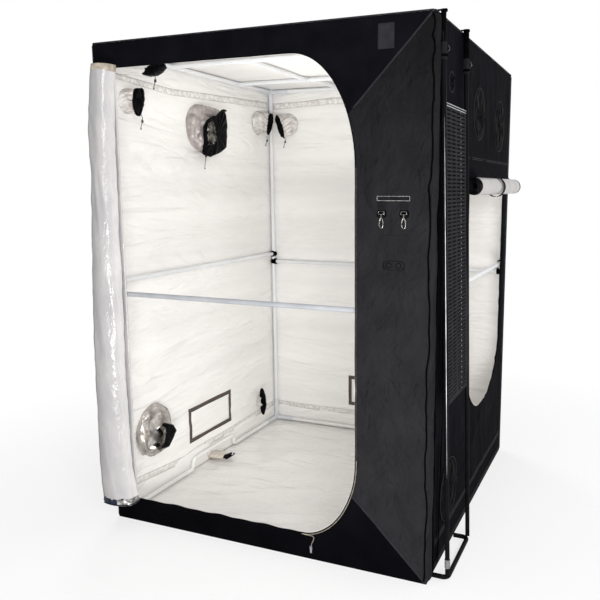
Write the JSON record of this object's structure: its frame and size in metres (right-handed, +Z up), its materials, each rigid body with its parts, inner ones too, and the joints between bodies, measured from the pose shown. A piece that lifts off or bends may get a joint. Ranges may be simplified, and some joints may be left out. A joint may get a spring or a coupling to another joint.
{
  "type": "indoor grow tent",
  "caption": "Walk-in fabric grow tent on a pole frame with rolled front and side doors, cinched duct sleeves, vents, a drain and a slotted side rack.",
  "frame": {"origin": "middle of the underside of the floor tray", "axes": "-Y out of the front doorway, +X towards the equipment rack, +Z up"},
  "size_m": [1.637, 1.6003, 2.1421],
  "materials": {
    "cover": "matt black oxford cloth",
    "lining": "white reflective coated lining",
    "pole": "white powder coated steel tube",
    "fitting": "light grey corner fitting",
    "sleeve": "crinkled silver coated cloth",
    "sleeve_black": "crinkled black cloth",
    "rack": "satin black powder coat",
    "hook_steel": "dark coated steel",
    "grey_strap": "grey hook and loop tape",
    "webbing": "black webbing",
    "snap_metal": "antique nickel plated zinc",
    "cord": "black braided cord"
  },
  "bodies": {
    "tent": {"bottom_corner_front_left": "fitting", "bottom_corner_front_right": "fitting", "bottom_corner_rear_left": "fitting", "bottom_corner_rear_right": "fitting", "bottom_rail_front": "pole", "bottom_rail_left": "pole", "bottom_rail_rear": "pole", "bottom_rail_right": "pole", "cord_ceiling": "cord", "cord_left_corner": "cord", "cord_left_large": "cord", "cord_left_small": "cord", "cord_rear_corner": "cord", "floor_tray": "lining", "front_panel": "cover", "left_wall": "lining", "post_front_left": "pole", "post_front_right": "pole", "post_rear_left": "pole", "post_rear_right": "pole", "rack_base": "rack", "rack_board": "rack", "rack_front_upright": "rack", "rack_hook_front": "hook_steel", "rack_hook_rear": "hook_steel", "rack_rear_upright": "rack", "rack_strap_front": "grey_strap", "rear_wall": "lining", "right_wall": "cover", "roof_bar_front": "pole", "roof_bar_rear": "pole", "roof_panel": "cover", "sleeve_ceiling": "sleeve_black", "sleeve_left_corner": "sleeve", "sleeve_left_large": "sleeve", "sleeve_left_low": "sleeve", "sleeve_left_small": "sleeve", "sleeve_rear_corner": "sleeve", "top_corner_front_left": "fitting", "top_corner_front_right": "fitting", "top_corner_rear_left": "fitting", "top_corner_rear_right": "fitting", "top_rail_front": "pole", "top_rail_left": "pole", "top_rail_rear": "pole", "top_rail_right": "pole"},
    "front_door": {"front_door_roll": "lining"},
    "side_door": {"side_door_roll": "lining", "side_roll_strap": "webbing"},
    "front_bar": {"mid_bar_front": "pole"},
    "rear_bar": {"mid_bar_rear": "pole"},
    "left_bar": {"mid_bar_left": "pole"},
    "right_bar": {"mid_bar_right": "pole"},
    "tie": {"roof_tie": "pole"},
    "rear_tie": {"roof_tie_rear": "pole"},
    "left_snap": {"snap_hook_left": "snap_metal"},
    "right_snap": {"snap_hook_right": "snap_metal"},
    "left_vent": {"vent_flap_left": "lining"},
    "rear_vent": {"vent_flap_rear": "lining"},
    "front_zip": {"front_zip_slider": "snap_metal"}
  },
  "joints": [
    {"name": "front_door_slide", "type": "slide", "parent": "tent", "child": "front_door", "axis": [1, 0, 0], "range_m": [0, 1.1]},
    {"name": "side_door_slide", "type": "slide", "parent": "tent", "child": "side_door", "axis": [0, 0, -1], "range_m": [0, 1.05]},
    {"name": "front_bar_height", "type": "slide", "parent": "tent", "child": "front_bar", "axis": [0, 0, 1], "range_m": [-0.6, 0]},
    {"name": "rear_bar_height", "type": "slide", "parent": "tent", "child": "rear_bar", "axis": [0, 0, 1], "range_m": [-0.6, 0]},
    {"name": "left_bar_height", "type": "slide", "parent": "tent", "child": "left_bar", "axis": [0, 0, 1], "range_m": [0, 0.4]},
    {"name": "right_bar_height", "type": "slide", "parent": "tent", "child": "right_bar", "axis": [0, 0, 1], "range_m": [0, 0.75]},
    {"name": "roof_tie_slide", "type": "slide", "parent": "tent", "child": "tie", "axis": [1, 0, 0], "range_m": [-0.35, 0]},
    {"name": "rear_tie_slide", "type": "slide", "parent": "tent", "child": "rear_tie", "axis": [1, 0, 0], "range_m": [0, 0.5]},
    {"name": "left_snap_swing", "type": "hinge", "parent": "tent", "child": "left_snap", "pos_m": [0.558, -0.7541, 1.4404], "axis": [-1, 0, 0], "range_deg": [0, 110]},
    {"name": "right_snap_swing", "type": "hinge", "parent": "tent", "child": "right_snap", "pos_m": [0.645, -0.7541, 1.4404], "axis": [-1, 0, 0], "range_deg": [0, 110]},
    {"name": "left_vent_fold", "type": "hinge", "parent": "tent", "child": "left_vent", "pos_m": [-0.7457, 0.005, 0.179], "axis": [0, 1, 0], "range_deg": [0, 100]},
    {"name": "rear_vent_fold", "type": "hinge", "parent": "tent", "child": "rear_vent", "pos_m": [-0.01, 0.7457, 0.179], "axis": [1, 0, 0], "range_deg": [0, 100]},
    {"name": "front_zip_slide", "type": "slide", "parent": "tent", "child": "front_zip", "axis": [0, 0, 1], "range_m": [0, 0.05]}
  ]
}
